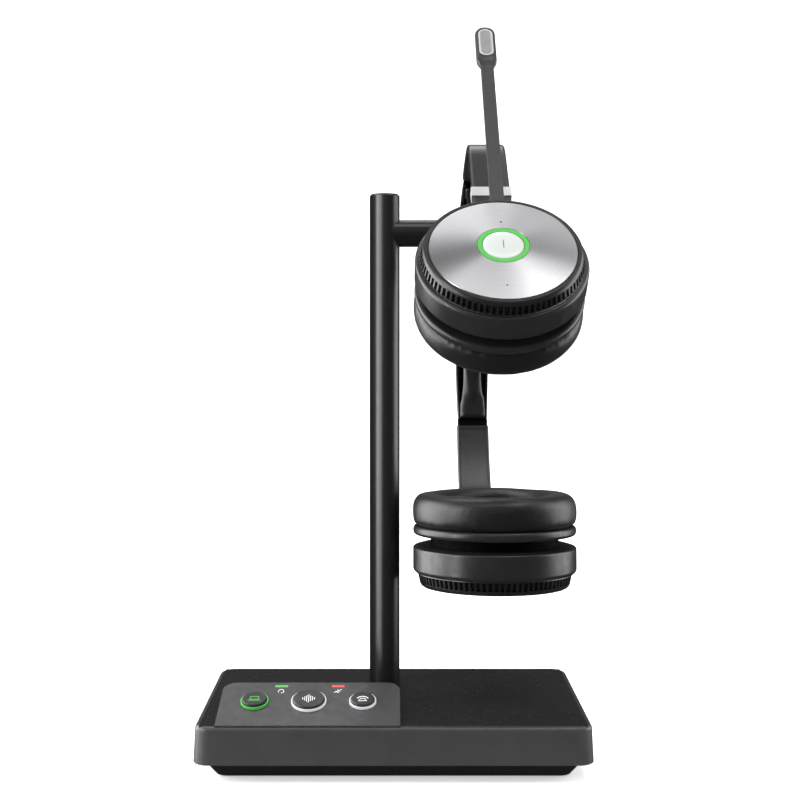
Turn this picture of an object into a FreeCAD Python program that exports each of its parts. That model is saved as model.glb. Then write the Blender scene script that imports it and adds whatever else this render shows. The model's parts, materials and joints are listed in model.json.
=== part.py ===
import FreeCAD, Part
import math
import os
import types
import Sketcher

# Office headset resting on its charging stand. Millimetres, +Z up. The origin is the centre of the
# base's underside, -Y is the user's side and +X is the side that the headset slides off.

DIMENSIONS = {
    # stand base
    "base_width": 145.0, "base_depth": 77.0, "base_floor": 6.8, "base_top": 20.2,
    "base_draft": 2.6, "base_corner": 6.0, "base_wall": 2.4, "base_lip": 1.6,
    "plinth_width": 130.5, "plinth_depth": 62.5, "plinth_draft": 33.0,
    "pad_width": 108.0, "pad_depth": 44.0, "pad_height": 0.6,
    "plate_inset": 2.5, "plate_height": 1.0,
    "cover_floor": 2.2, "housing_wall_play": 6.8, "seat_rebate": 1.5, "post_radius": 3.2,
    "ballast_width": 108.0, "ballast_depth": 40.0, "ballast_height": 6.0, "ballast_y": 7.0,
    "board_width": 70.0, "board_depth": 28.0, "board_height": 1.2, "board_x": -19.5,
    "board_y": -20.5, "board_z": 11.0, "switch_size": 6.0, "switch_height": 5.2,
    "screw_radius": 1.5, "screw_head": 3.0, "screw_head_height": 0.75, "screw_length": 9.5,
    "bolt_radius": 2.0, "bolt_head": 3.6, "bolt_head_height": 2.3, "bolt_length": 14.0,
    # control panel: a wedge with three buttons and two status lights
    "panel_left": -64.3, "panel_front": -37.0, "panel_width": 66.8, "panel_run": 27.0,
    "panel_slope": 15.5, "panel_lip": 0.5, "panel_wall": 1.8, "panel_corner": 5.0,
    "panel_front_wall": 4.0, "panel_side_wall": 2.0, "well_width": 46.0, "well_depth": 11.0,
    "well_inset": 10.3, "well_setback": 10.0,
    "button_row": 15.0, "button_proud": 1.6, "skirt_width": 0.6,
    "skirt_proud": 0.8, "skirt_play": 0.12, "skirt_sunk": 1.9, "cap_under": 2.0,
    "button_edge": 0.35, "stem_radius": 1.6, "stem_length": 3.5,
    "led_row": 25.2, "led_length": 5.0, "led_width": 1.5,
    # pole and support arm
    "pole_x": -3.4, "pole_y": 13.76, "pole_radius": 6.02, "pole_bore": 4.8, "pole_top": 216.9,
    "pole_solid_foot": 16.0, "cap_height": 2.9, "cap_plug": 5.0, "cap_chamfer": 0.8,
    "arm_height": 201.21, "arm_radius": 5.45, "arm_bore": 4.2, "arm_end": 68.2,
    "spigot_radius": 3.0, "saddle_wall": 1.6, "saddle_half": 20.0,
    # charging contacts: pins in the support arm and pads in the headset's leg
    "contact_radius": 1.3, "contact_spread": 3.5, "contact_length": 2.2, "contact_sunk": 3.2,
    "contact_pad_radius": 1.2, "contact_pad_height": 0.68, "contact_pad_face": 1.0,
    # headband: an arc about the crown centre, with two bent arms
    "plane_x": 39.8, "crown_y": 38.1, "crown_z": 146.2, "band_radius": 96.0,
    "band_tilt": 22.0, "band_half_span": 39.4, "band_gap": 2.0, "band_width": 16.4,
    "shell_height": 4.4, "shell_wall": 1.6, "spring_width": 11.0, "spring_height": 0.8,
    "spring_grip": 2.0, "pad_thickness": 4.2, "pad_margin": 0.3,
    "leg_width": 15.6, "leg_height": 3.4, "leg_round": 1.1,
    "knee_radius": 20.0, "mouth_ahead": 15.2,
    "cover_width": 12.9, "cover_height": 0.45, "cover_groove": 0.2, "cover_sunk": 0.12,
    "ring_width": 5.6, "ring_height": 0.35, "ring_ahead": 18.4,
    "upper_offset": 63.75, "lower_offset": 67.2, "upper_back": 18.3, "lower_back": 33.3,
    "lower_lean": 3.5, "bar_width": 11.0, "bar_height": 1.4, "bar_reach": 66.5,
    "pin_radius": 1.0, "pin_reach": 9.0, "pin_offset": 21.0, "eye_radius": 1.8, "bar_entry": 32.2,
    "cover_ahead": 26.0, "cover_margin": 1.2, "dock_reach": 39.0,
    # ear cups, stacked along the cup's axis from the middle of the gap that holds the leg
    "neck_radius": 25.0, "gap_half": 2.0, "neck_web": 1.6, "neck_slot": 9.0,
    "cup_radius": 32.0, "housing_top": 12.4,
    "chamfer_width": 2.4, "chamfer_height": 0.8,
    "housing_wall": 1.6, "housing_edge": 1.0, "hub_radius": 11.2, "hub_bore": 9.6,
    "ring_foot": 30.3, "ring_floor": 1.6,
    "ring_crest": 28.8, "ring_top": 17.85, "disc_radius": 27.05, "disc_under": 15.85,
    "disc_dome": 2.0, "led_outer": 9.4, "led_inner": 7.75, "call_radius": 7.6,
    "call_level": 8.6, "call_crown": 0.3, "call_edge": 0.5, "call_flat": 3.0,
    "cup_board_outer": 26.0, "cup_board_inner": 12.0, "cup_board_level": 7.6,
    "battery_length": 32.0, "battery_width": 11.0, "battery_height": 4.4,
    "battery_y": -18.5, "battery_level": 4.7,
    "flange_radius": 32.2, "flange_height": 3.6, "cushion_radius": 32.3,
    "cushion_bore": 17.0, "cushion_depth": 12.5, "speaker_radius": 14.5, "magnet_radius": 10.0,
    "speaker_rim": 1.5, "speaker_dome": 6.0,
    "cloth_radius": 15.5, "cloth_height": 0.4,
    # microphone boom
    "boom_root": 28.9, "boom_level": 14.6, "boom_lean": 8.7, "boom_width": 5.5,
    "boom_height": 2.2, "boom_length": 82.0, "boom_round": 0.6, "head_width": 9.0,
    "head_height": 5.0, "head_length": 23.2, "head_round": 2.0,
    "grille_width": 6.0, "grille_length": 16.5, "grille_height": 0.6,
}
RUNNING = 0.05      # gap between pieces that only touch
DEEP = 12.0         # longer than any hole that a tool cuts in the base
BUTTONS = {"pc": (-51.5, 4.6), "center": (-31.4, 5.95), "phone": (-11.4, 4.45)}
STATUS_LIGHTS = {"headset_led": -42.25, "mute_led": -20.9}
SCREW_POSTS = [(x, y) for x in (-58.0, 58.0) for y in (-25.0, 25.0)]
PORTS_X = (-18.0, 8.0)
PORT_WIDTH, PORT_DEPTH, PORT_HEIGHT = 8.94, 7.3, 3.16
PORT_WALL, PORT_FLOOR, PORT_SUNK = 0.33, 12.0, 0.6

doc = FreeCAD.newDocument("headset")
nodes = []
spare_names = iter(range(10000))


class Size:
    """A length or angle that knows both its number and the sheet expression behind it."""

    def __init__(self, value, text):
        self.value = float(value)
        self.text = text

    def __float__(self):
        return self.value

    def __add__(self, other):
        other = as_size(other)
        return Size(self.value + other.value, f"({self.text} + {other.text})")

    def __sub__(self, other):
        other = as_size(other)
        return Size(self.value - other.value, f"({self.text} - {other.text})")

    def __mul__(self, factor):
        return Size(self.value * factor, f"({self.text} * {factor})")

    def __neg__(self):
        return self * -1


def as_size(number):
    return number if isinstance(number, Size) else Size(number, repr(float(number)))


def fill_sheet():
    """Put the driving dimensions in the sheet and return them as sizes."""
    sheet = doc.addObject("Spreadsheet::Sheet", "Sizes")
    for row, (alias, value) in enumerate(DIMENSIONS.items(), start=1):
        sheet.set(f"A{row}", alias)
        sheet.set(f"B{row}", str(value))
        sheet.setAlias(f"B{row}", alias)
    doc.recompute()
    return types.SimpleNamespace(**{a: Size(v, f"Sizes.{a}") for a, v in DIMENSIONS.items()})


S = fill_sheet()


# ---------------------------------------------------------------- placements

def vec(x, y, z):
    return FreeCAD.Vector(float(x), float(y), float(z))


def at(x=0, y=0, z=0, turn=None):
    return FreeCAD.Placement(vec(x, y, z), turn or FreeCAD.Rotation())


def frame(origin, y_axis, z_axis):
    """A placement from its origin and two of its axes."""
    x_axis = y_axis.cross(z_axis)
    return FreeCAD.Placement(origin, FreeCAD.Rotation(x_axis, y_axis, z_axis, "ZXY"))


ALONG_X = FreeCAD.Rotation(vec(0, 1, 0), 90)


# ---------------------------------------------------------------- building blocks

def bind(piece, **sizes):
    for name, size in sizes.items():
        piece.setExpression(name, as_size(size).text)
    return piece


def block(width, depth, height, place=None, centred=True):
    """A box; centred means that its local X and Y are centred and it stands on local Z = 0."""
    piece = doc.addObject("Part::Box", f"block_{next(spare_names)}")
    bind(piece, Length=width, Width=depth, Height=height)
    shift = at(-float(width) / 2, -float(depth) / 2, 0) if centred else at()
    piece.Placement = (place or at()).multiply(shift)
    return piece


def rod(radius, height, place=None, angle=360):
    piece = doc.addObject("Part::Cylinder", f"rod_{next(spare_names)}")
    bind(piece, Radius=radius, Height=height, Angle=angle)
    piece.Placement = place or at()
    return piece


def fuse(*pieces):
    piece = doc.addObject("Part::MultiFuse", f"fuse_{next(spare_names)}")
    piece.Shapes = list(pieces)
    return piece


def cut(base, *tools):
    piece = doc.addObject("Part::Cut", f"cut_{next(spare_names)}")
    piece.Base = base
    piece.Tool = tools[0] if len(tools) == 1 else fuse(*tools)
    return piece


def common(base, tool):
    piece = doc.addObject("Part::Common", f"common_{next(spare_names)}")
    piece.Base = base
    piece.Tool = tool
    return piece


def group(*pieces):
    piece = doc.addObject("Part::Compound", f"group_{next(spare_names)}")
    piece.Links = list(pieces)
    return piece


def rounded(base, radius, test):
    """Round the edges of a piece that pass the test."""
    doc.recompute()
    piece = doc.addObject("Part::Fillet", f"round_{next(spare_names)}")
    piece.Base = base
    radius = float(radius)
    picks = [i for i, edge in enumerate(base.Shape.Edges, start=1) if test(edge)]
    piece.Edges = [(i, radius, radius) for i in picks]
    return piece


def tube(outer, inner, height, place=None):
    return cut(rod(outer, height, place), rod(inner, height, place))


def arc_bar(inner, outer, width, start, span):
    """A bar bent about the crown centre, from one angle above +Y over a span of degrees."""
    turn = math.radians(float(start))
    toward = vec(0, math.cos(turn), math.sin(turn))
    across = vec(1, 0, 0)
    centre = vec(S.plane_x.value - float(width) / 2, S.crown_y, S.crown_z)
    place = FreeCAD.Placement(centre, FreeCAD.Rotation(toward, across.cross(toward), across, "ZXY"))
    return cut(rod(outer, width, place, span), rod(inner, width, place))


def sketch_on(body, plane):
    sketch = body.newObject("Sketcher::SketchObject", f"sketch_{next(spare_names)}")
    support = [f for f in body.Origin.OriginFeatures if f.Role == plane][0]
    sketch.AttachmentSupport = (support, [""])
    sketch.MapMode = "FlatFace"
    return sketch


def draw_outline(sketch, corners):
    """A closed outline of straight sides, every corner held by sheet expressions."""
    points = [vec(a, b, 0) for a, b in corners]
    count = len(points)
    for i in range(count):
        sketch.addGeometry(Part.LineSegment(points[i], points[(i + 1) % count]), False)
    for i in range(count):
        sketch.addConstraint(Sketcher.Constraint("Coincident", i, 2, (i + 1) % count, 1))
    for i, corner in enumerate(corners):
        for kind, size in zip(("DistanceX", "DistanceY"), corner):
            held = sketch.addConstraint(Sketcher.Constraint(kind, -1, 1, i, 1, float(size)))
            sketch.setExpression(f"Constraints[{held}]", as_size(size).text)


def turned(corners):
    """A body turned about local Z from (radius, height) corners."""
    body = doc.addObject("PartDesign::Body", f"turned_{next(spare_names)}")
    sketch = sketch_on(body, "XZ_Plane")
    draw_outline(sketch, corners)
    turn = body.newObject("PartDesign::Revolution", f"turn_{next(spare_names)}")
    turn.Profile = sketch
    turn.ReferenceAxis = (sketch, ["V_Axis"])
    turn.Angle = 360
    sketch.Visibility = False
    return body


def tapered_block(width, depth, height, draft, corner):
    """A padded rectangle standing on local Z = 0, with drafted sides and round corners."""
    body = doc.addObject("PartDesign::Body", f"padded_{next(spare_names)}")
    sketch = sketch_on(body, "XY_Plane")
    half_x, half_y = width * 0.5, depth * 0.5
    draw_outline(sketch, [(-half_x, -half_y), (half_x, -half_y), (half_x, half_y),
                          (-half_x, half_y)])
    pad = body.newObject("PartDesign::Pad", f"pad_{next(spare_names)}")
    pad.Profile = sketch
    bind(pad, Length=height, TaperAngle=draft)
    doc.recompute()
    upright = [f"Edge{i}" for i, edge in enumerate(pad.Shape.Edges, start=1)
               if edge.BoundBox.ZLength > float(height) * 0.5]
    fillet = body.newObject("PartDesign::Fillet", f"corners_{next(spare_names)}")
    fillet.Base = (pad, upright)
    bind(fillet, Radius=corner)
    doc.recompute()
    return body


def node(piece, label, place=None):
    """Name a finished sub-part and put it where it belongs."""
    piece.Label = label
    if place:
        piece.Placement = place.multiply(piece.Placement)
    nodes.append(piece)
    return piece


# ---------------------------------------------------------------- stand base

def top_plate_blank(gap):
    """The inlay of the base's top, which leaves the control panel's footprint free."""
    width = S.base_width - S.plate_inset * 2 - gap * 2
    depth = S.base_depth - S.plate_inset * 2 - gap * 2
    sheet = block(width, depth, S.plate_height + 1, at(z=S.base_top - S.plate_height))
    foot = block(S.panel_width + gap * 2, S.panel_run + gap * 2, DEEP,
                 at(S.panel_left - gap, S.panel_front - gap, S.base_top - DEEP * 0.5),
                 centred=False)
    return cut(sheet, foot)


def pole_hole():
    return rod(S.pole_radius + RUNNING, DEEP, at(S.pole_x, S.pole_y, S.base_top - DEEP * 0.5))


def base_housing():
    height = S.base_top - S.base_floor
    shell = tapered_block(S.base_width, S.base_depth, height, -S.base_draft, S.base_corner)
    shell.Placement = at(z=S.base_floor)
    rim = rounded(shell, S.base_lip, lambda e: e.BoundBox.ZMin > S.base_top.value - 0.01)
    play, rebate = S.housing_wall_play, S.seat_rebate
    inside = block(S.base_width - play, S.base_depth - play, height - S.base_wall - rebate,
                   at(z=S.base_floor + rebate))
    under = block(S.plinth_width - 1.6, S.plinth_depth - 1.6, rebate + 1.5,
                  at(z=S.base_floor - 1))
    panel_well = block(S.well_width, S.well_depth, DEEP,
                       at(S.panel_left + S.well_inset, S.panel_front + S.well_setback,
                          S.base_top - DEEP * 0.5), centred=False)
    port_holes = [block(PORT_WIDTH + RUNNING * 2, PORT_DEPTH + 2, PORT_HEIGHT + RUNNING * 2,
                        at(x, S.base_depth * 0.5, PORT_FLOOR - RUNNING)) for x in PORTS_X]
    hollow = cut(rim, inside, under, panel_well, pole_hole(), top_plate_blank(0.0), *port_holes)
    post_foot = S.pad_height.value + S.cover_floor.value + RUNNING
    posts = [rod(S.post_radius, S.base_top - S.base_wall - post_foot, at(x, y, post_foot))
             for x, y in SCREW_POSTS]
    bores = [rod(S.screw_radius + RUNNING, S.screw_length - 0.3, at(x, y, post_foot - 0.1))
             for x, y in SCREW_POSTS]
    node(cut(fuse(hollow, *posts), *bores), "base_housing")


def base_top_plate():
    flush = block(S.base_width, S.base_depth, DEEP, at(z=S.base_top))
    node(cut(top_plate_blank(RUNNING), flush, pole_hole()), "base_top_plate")


def base_bottom_cover():
    height = S.base_floor - S.pad_height - RUNNING
    plinth = tapered_block(S.plinth_width, S.plinth_depth, height, S.plinth_draft, S.base_corner)
    plinth.Placement = at(z=S.pad_height)
    inside = block(S.plinth_width - 5, S.plinth_depth - 5, DEEP,
                   at(z=S.pad_height + S.cover_floor))
    holes = [rod(S.screw_radius + 0.1, DEEP, at(x, y, -DEEP * 0.5)) for x, y in SCREW_POSTS]
    sink = S.pad_height + S.screw_head_height + DEEP
    sinks = [rod(S.screw_head + 0.15, sink, at(x, y, -DEEP)) for x, y in SCREW_POSTS]
    node(cut(plinth, inside, *holes, *sinks), "base_bottom_cover")


def screw(radius, head_radius, head_height, length):
    """A screw standing head down, its drive recess open below."""
    drive = rod(head_radius * 0.5, head_height * 0.4)
    return cut(fuse(rod(head_radius, head_height), rod(radius, length)), drive)


def base_inside():
    node(block(S.pad_width, S.pad_depth, S.pad_height), "anti_slip_pad")
    floor = (S.pad_height + S.cover_floor).value + RUNNING
    slab = block(S.ballast_width, S.ballast_depth, S.ballast_height, at(z=floor, y=S.ballast_y))
    sink = rod(S.bolt_head + 0.2, S.bolt_head_height + 0.3, at(S.pole_x, S.pole_y, floor - 0.1))
    hole = rod(S.bolt_radius + 0.1, DEEP, at(S.pole_x, S.pole_y, floor))
    node(cut(slab, sink, hole), "ballast_plate")
    board = block(S.board_width, S.board_depth, S.board_height,
                  at(S.board_x, S.board_y, S.board_z))
    node(board, "main_board")
    row = S.panel_front.value + S.button_row.value * math.cos(math.radians(float(S.panel_slope)))
    top = S.board_z + S.board_height + RUNNING
    switches = [block(S.switch_size, S.switch_size, S.switch_height, at(x, row + 1.6, top))
                for x, _ in BUTTONS.values()]
    node(group(*switches), "button_switches")
    rear = S.base_depth.value / 2 - PORT_SUNK - PORT_DEPTH / 2
    shells = []
    for x in PORTS_X:
        outer = block(PORT_WIDTH, PORT_DEPTH, PORT_HEIGHT, at(x, rear, PORT_FLOOR))
        mouth = block(PORT_WIDTH - 2 * PORT_WALL, PORT_DEPTH, PORT_HEIGHT - 2 * PORT_WALL,
                      at(x, rear + 1, PORT_FLOOR + PORT_WALL))
        shells.append(cut(outer, mouth))
    node(group(*shells), "rear_ports")
    screws = []
    for x, y in SCREW_POSTS:
        piece = screw(S.screw_radius, S.screw_head, S.screw_head_height, S.screw_length)
        piece.Placement = at(x, y, S.pad_height)
        screws.append(piece)
    node(group(*screws), "base_screws")


# ---------------------------------------------------------------- control panel

def slope_frame(x, up_the_slope):
    """A frame on the panel's sloping face: local Y runs up the slope, local Z stands on it."""
    turn = FreeCAD.Rotation(vec(1, 0, 0), float(S.panel_slope))
    edge = vec(x, S.panel_front, S.base_top + S.panel_lip)
    return FreeCAD.Placement(edge, turn).multiply(at(y=up_the_slope))


def wedge(front, back, floor, front_top, back_top, left, width):
    """A prism along X from a four-cornered side outline."""
    body = doc.addObject("PartDesign::Body", f"wedge_{next(spare_names)}")
    sketch = sketch_on(body, "YZ_Plane")
    draw_outline(sketch, [(front, floor), (back, floor), (back, back_top), (front, front_top)])
    pad = body.newObject("PartDesign::Pad", f"wedge_pad_{next(spare_names)}")
    pad.Profile = sketch
    bind(pad, Length=width)
    body.Placement = at(x=left)
    doc.recompute()
    return body


def control_panel():
    climb = math.tan(math.radians(float(S.panel_slope)))
    front, back = S.panel_front, S.panel_front + S.panel_run
    floor, lip = S.base_top, S.panel_lip
    solid = wedge(front, back, floor, floor + lip, floor + lip + S.panel_run * climb,
                  S.panel_left, S.panel_width)
    solid = rounded(solid, S.panel_corner,
                    lambda e: e.BoundBox.ZLength > 5 and e.BoundBox.YMin > back.value - 0.01)
    drop = S.panel_wall * (1 / math.cos(math.radians(float(S.panel_slope))))
    ahead, side = S.panel_front_wall, S.panel_side_wall
    inner_low = floor + lip + ahead * climb - drop
    inner_high = floor + lip + (S.panel_run - side) * climb - drop
    hollow = wedge(front + ahead, back - side, floor - 1, inner_low, inner_high,
                   S.panel_left + side, S.panel_width - side * 2)
    sunk = at(z=-DEEP * 0.5)
    tools = [hollow]
    for x, radius in BUTTONS.values():
        hole = radius + S.skirt_width.value + RUNNING
        tools.append(rod(hole, DEEP, slope_frame(x, S.button_row).multiply(sunk)))
    for x in STATUS_LIGHTS.values():
        tools.append(block(S.led_length, S.led_width, DEEP,
                           slope_frame(x, S.led_row).multiply(sunk)))
    node(cut(solid, *tools), "control_panel")
    for label, x in STATUS_LIGHTS.items():
        bar = block(S.led_length - 0.1, S.led_width - 0.1, S.panel_wall + 0.15)
        node(bar, label, slope_frame(x, S.led_row).multiply(at(z=-S.panel_wall)))


def base_buttons():
    white_skirts = []
    sunk = at(z=-S.skirt_sunk)
    for name, (x, radius) in BUTTONS.items():
        place = slope_frame(x, S.button_row)
        skirt = tube(radius + S.skirt_width.value, radius + S.skirt_play.value,
                     S.skirt_proud + S.skirt_sunk)
        if name == "pc":
            node(skirt, "pc_light_skirt", place.multiply(sunk))
        else:
            skirt.Placement = place.multiply(sunk)
            white_skirts.append(skirt)
        crest, under, edge = S.button_proud, -S.cap_under, S.button_edge
        foot = under - S.stem_length
        cap = turned([(0, foot), (S.stem_radius, foot), (S.stem_radius, under), (radius, under),
                      (radius, crest - edge), (as_size(radius) - edge, crest), (0, crest)])
        node(cap, f"{name}_button", place)
    node(group(*white_skirts), "white_light_skirts")


# ---------------------------------------------------------------- pole and support arm

def arm_frame():
    """Local Z runs along the support arm towards its free end."""
    return FreeCAD.Placement(vec(0, S.pole_y, S.arm_height), ALONG_X)


def stand_pole():
    foot = (S.pad_height + S.cover_floor + S.ballast_height).value + 2 * RUNNING
    top = S.pole_top - S.cap_height
    outside = rod(S.pole_radius, top - foot, at(z=foot))
    bore = rod(S.pole_bore, top, at(z=S.pole_solid_foot + foot))
    thread = rod(S.bolt_radius + RUNNING, S.bolt_length - 3, at(z=foot - 1))
    cross = rod(S.spigot_radius + RUNNING, DEEP, at(z=S.arm_height, turn=ALONG_X))
    pole_axis = at(S.pole_x, S.pole_y, 0)
    node(cut(outside, bore, thread, cross), "stand_pole", pole_axis)
    tip, plug, edge = S.pole_top, S.pole_bore - RUNNING, S.cap_chamfer
    cap = turned([(0, top - S.cap_plug), (plug, top - S.cap_plug), (plug, top),
                  (S.pole_radius, top), (S.pole_radius, tip - edge), (S.pole_radius - edge, tip),
                  (0, tip)])
    node(cap, "pole_top_cap", pole_axis)
    bolt = screw(S.bolt_radius, S.bolt_head, S.bolt_head_height, S.bolt_length)
    node(bolt, "pole_fixing_screw", at(S.pole_x, S.pole_y, S.pad_height + S.cover_floor + 0.2))


def contact_frame(side):
    """Local Z points from the support arm's axis at the headset's leg."""
    out = -UPPER.inner
    origin = vec(S.plane_x.value + side * S.contact_spread.value, S.pole_y, S.arm_height)
    return frame(origin, UPPER.along, out)


def support_arm():
    root, shell_end = S.pole_x, S.arm_end - S.saddle_wall
    outside = rod(S.arm_radius, shell_end - root, at(z=root))
    saddle = rod(S.pole_radius + RUNNING, S.saddle_half * 2,
                 at(x=-S.saddle_half, z=S.pole_x, turn=ALONG_X))
    bore = rod(S.arm_bore, S.arm_end, at(z=DEEP))
    pockets = [rod(S.contact_radius + RUNNING, DEEP,
                   arm_frame().inverse().multiply(contact_frame(side))) for side in (-1, 1)]
    spigot = rod(S.spigot_radius, DEEP, at(z=root + 1))
    body = fuse(cut(outside, saddle, bore, *pockets), spigot)
    node(body, "support_arm", arm_frame())
    tip, plug, edge = S.arm_end, S.arm_bore - RUNNING, S.cap_chamfer
    cap = turned([(0, shell_end - S.cap_plug), (plug, shell_end - S.cap_plug), (plug, shell_end),
                  (S.arm_radius, shell_end), (S.arm_radius, tip - edge),
                  (S.arm_radius - edge, tip), (0, tip)])
    node(cap, "arm_end_cap", arm_frame())
    pins = [rod(S.contact_radius, S.contact_length,
                contact_frame(side).multiply(at(z=S.contact_sunk))) for side in (-1, 1)]
    node(group(*pins), "charging_contacts")


# ---------------------------------------------------------------- headband and arms

def leg_side(angle, offset, back, sign):
    """Where one straight leg lies: its direction to the crown, its inner side and its cup."""
    turn = math.radians(angle)
    along = vec(0, math.cos(turn), math.sin(turn))
    inner = vec(0, math.sin(turn), -math.cos(turn)) * sign
    crown = vec(S.plane_x, S.crown_y, S.crown_z)
    foot = crown - inner * offset.value
    side = types.SimpleNamespace(along=along, inner=inner, offset=offset, foot=foot)
    side.cup = foot - along * back.value
    side.pin = side.cup + along * S.pin_offset.value
    side.mouth = frame(foot + along * S.mouth_ahead.value, inner, along)
    side.leg = frame(side.cup, inner, along)
    side.cup_frame = frame(side.cup, along, -inner)
    return side


UPPER = leg_side(2 * DIMENSIONS["band_tilt"], S.upper_offset, S.upper_back, 1)
LOWER = leg_side(0.0, S.lower_offset, S.lower_back, -1)
tilt = at(turn=FreeCAD.Rotation(vec(1, 0, 0), -float(S.lower_lean)))
to_pin = FreeCAD.Placement(LOWER.pin, FreeCAD.Rotation())
LOWER.cup_frame = to_pin.multiply(tilt).multiply(to_pin.inverse()).multiply(LOWER.cup_frame)


def headband():
    half, middle = S.band_half_span, S.band_tilt
    low = middle - half
    span = half * 2
    outer = S.band_radius + S.shell_height * 0.5
    inner = S.band_radius - S.shell_height * 0.5
    shell = arc_bar(inner, outer, S.band_width, low, span)
    channel = arc_bar(inner - 1, outer - S.shell_wall, S.band_width - S.shell_wall * 2,
                      low - 5, span + 10)
    node(cut(shell, channel), "headband_shell")
    reach = S.band_gap + S.spring_grip
    node(arc_bar(S.band_radius - S.spring_height * 0.5, S.band_radius + S.spring_height * 0.5,
                 S.spring_width, low - reach, span + reach * 2), "headband_spring")
    node(arc_bar(inner - S.pad_thickness, inner - RUNNING, S.band_width - S.pad_margin * 2, low,
                 span), "headband_pad")


def draw_path(sketch, side, start, end_angle):
    """The arm's line: up the leg, round the knee and along the band's circle."""
    knee, radius = S.knee_radius.value, S.band_radius.value
    offset = side.offset.value
    ahead = S.mouth_ahead.value
    rise = math.sqrt((radius - knee) ** 2 - (offset - knee) ** 2)
    bend = math.atan2(rise, offset - knee)

    def on(centre, size, angle):
        return vec(centre[0] - size * math.cos(angle), centre[1] + size * math.sin(angle), 0)

    knee_centre = (knee, rise - ahead)
    crown = (offset, -ahead)
    last = math.radians(end_angle)
    corner = on(knee_centre, knee, 0)
    turn_end = on(knee_centre, knee, bend)
    sketch.addGeometry(Part.LineSegment(vec(0, start, 0), corner), False)
    sketch.addGeometry(Part.Arc(corner, on(knee_centre, knee, bend / 2), turn_end), False)
    sketch.addGeometry(Part.Arc(turn_end, on(crown, radius, (bend + last) / 2),
                                on(crown, radius, last)), False)
    return rise - ahead


def swept(side, section, start, end_angle, corner=0.0):
    """A rectangle (width, low Y, high Y) swept along the arm from a height above its mouth."""
    width, low, high = section
    body = doc.addObject("PartDesign::Body", f"swept_{next(spare_names)}")
    profile = sketch_on(body, "XY_Plane")
    profile.AttachmentOffset = at(z=start)
    draw_outline(profile, [(-width * 0.5, low), (width * 0.5, low), (width * 0.5, high),
                           (-width * 0.5, high)])
    spine = sketch_on(body, "YZ_Plane")
    draw_path(spine, side, start, end_angle)
    pipe = body.newObject("PartDesign::AdditivePipe", f"pipe_{next(spare_names)}")
    pipe.Profile = profile
    pipe.Spine = (spine, ["Edge1", "Edge2", "Edge3"])
    doc.recompute()
    if corner:
        edges = [f"Edge{i}" for i, edge in enumerate(pipe.Shape.Edges, start=1)
                 if edge.BoundBox.XLength < 0.01 and edge.Length > 5]
        fillet = body.newObject("PartDesign::Fillet", f"soften_{next(spare_names)}")
        fillet.Base = (pipe, edges)
        fillet.Radius = float(corner)
        doc.recompute()
    return body


def arm(name, side):
    end = 90 + DIMENSIONS["band_tilt"] - DIMENSIONS["band_half_span"] - DIMENSIONS["band_gap"]
    half = S.leg_height * 0.5
    solid = swept(side, (S.leg_width, -half, half), 0.0, end, S.leg_round)
    channel = block(S.bar_width + 0.2, S.bar_height + 0.2, S.bar_reach - S.bar_entry, at(z=-1))
    cover_start, cover_end = S.cover_ahead.value, end - S.cover_margin.value
    groove = S.cover_groove.value
    recess = swept(side, (S.cover_width + groove * 2, half - S.cover_height - RUNNING, half + 1),
                   cover_start - groove, cover_end + groove / 2)
    tools = [channel, recess]
    to_arm = side.mouth.inverse()
    reach = S.band_gap + S.spring_grip + 0.2
    for low in (S.band_tilt - S.band_half_span - reach, S.band_tilt + S.band_half_span):
        slot = arc_bar(S.band_radius - S.spring_height * 0.5 - RUNNING,
                       S.band_radius + S.spring_height * 0.5 + RUNNING,
                       S.spring_width + 0.1, low, reach)
        slot.Placement = to_arm.multiply(slot.Placement)
        tools.append(slot)
    if side is UPPER:
        radius, deep = S.contact_pad_radius + RUNNING, S.contact_pad_height * 3
        tools += [rod(radius, deep, contact_seat(x).multiply(at(z=-RUNNING))) for x in (-1, 1)]
    node(cut(solid, *tools), f"{name}_arm", side.mouth)
    plate = swept(side, (S.cover_width, half - S.cover_height, half - S.cover_sunk), cover_start,
                  cover_end)
    node(plate, f"{name}_arm_cover", side.mouth)
    grow = S.ring_height
    sleeve = block(S.leg_width + grow * 2, S.leg_height + grow * 2, S.ring_width)
    core = block(S.leg_width + 0.04, S.leg_height + 0.04, S.ring_width)
    node(cut(sleeve, core), f"{name}_accent_ring", side.mouth.multiply(at(z=S.ring_ahead)))


def contact_seat(x):
    """Local Z points out of the leg's inner face, in the arm's own frame."""
    along_arm = (S.dock_reach - S.upper_back - S.mouth_ahead).value
    turn = FreeCAD.Rotation(vec(1, 0, 0), -90)
    return at(x * S.contact_spread.value, S.contact_pad_face, along_arm, turn)


def slider(name, side):
    """The steel strip that telescopes in the arm, with the eye that carries the cup."""
    strip = block(S.bar_width, S.bar_height, S.bar_reach - S.pin_offset, at(z=S.pin_offset))
    eye = rod(S.eye_radius, S.bar_width, at(x=-S.bar_width.value / 2, z=S.pin_offset, turn=ALONG_X))
    bore = rod(S.pin_radius + RUNNING, S.bar_width * 2,
               at(x=-S.bar_width, z=S.pin_offset, turn=ALONG_X))
    node(cut(fuse(strip, eye), bore), f"{name}_slider_bar", side.leg)


# ---------------------------------------------------------------- ear cups

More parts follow.
